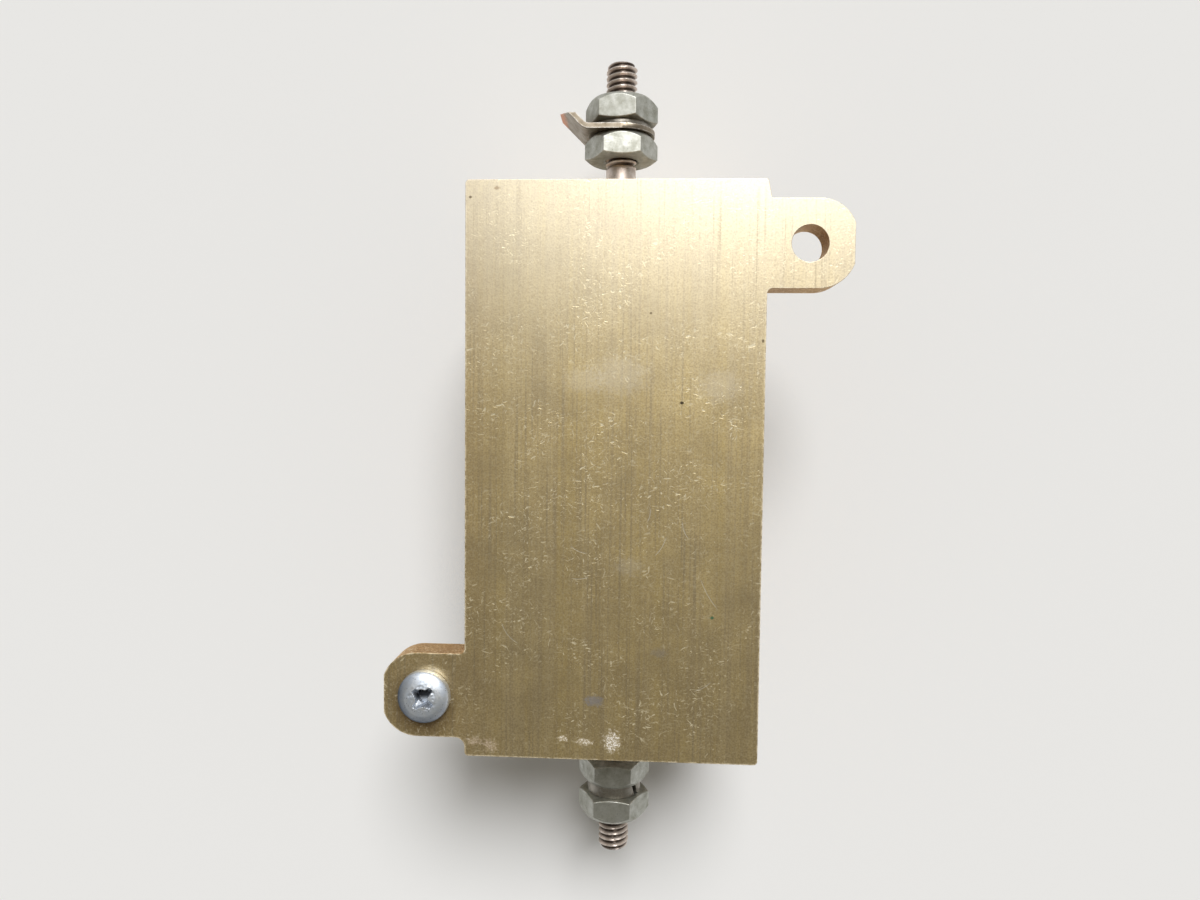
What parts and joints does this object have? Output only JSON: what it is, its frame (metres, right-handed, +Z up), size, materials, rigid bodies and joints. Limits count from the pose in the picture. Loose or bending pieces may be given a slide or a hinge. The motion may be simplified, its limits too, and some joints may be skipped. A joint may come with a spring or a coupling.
{
  "type": "aluminium housed power resistor",
  "caption": "Wirewound power resistor in a finned aluminium housing with diagonal mounting ears and threaded end terminals, lying base face up.",
  "frame": {"origin": "middle of the outline seen from above, at the height of the surface that the finned side lies on", "axes": "+Z up, out of the flat base face; +Y along the terminals towards the one that carries the solder tag; +X towards the free mounting ear"},
  "size_m": [0.0712, 0.1396, 0.0469],
  "materials": {
    "anodised_housing": "satin, pale gold anodised, scratched",
    "core_ceramic": "matte",
    "resistance_alloy": "satin",
    "cap_steel": "satin",
    "filling": "matte",
    "seal": "matte",
    "plated_stud": "worn plating",
    "plated_nut": "dull plating",
    "plated_washer": "dull plating",
    "tinned_tag": "tinned, bare metal at the cut end",
    "plated_screw": "bright plating, worn recess"
  },
  "bodies": {
    "root": {"housing": "anodised_housing", "ceramic_core": "core_ceramic", "resistance_winding": "resistance_alloy", "end_cap_top": "cap_steel", "end_cap_bottom": "cap_steel", "potting": "filling", "end_seal_top": "seal", "end_seal_bottom": "seal", "terminal_stud_top": "plated_stud", "terminal_stud_bottom": "plated_stud", "inner_nut_top": "plated_nut", "inner_nut_bottom": "plated_nut", "outer_nut_top": "plated_nut", "outer_nut_bottom": "plated_nut", "spring_washer_top": "plated_washer", "lock_washer_bottom": "plated_washer", "terminal_lug": "tinned_tag", "ear_screw": "plated_screw", "ear_screw_washer": "plated_washer", "ear_screw_nut": "plated_nut"}
  },
  "joints": []
}
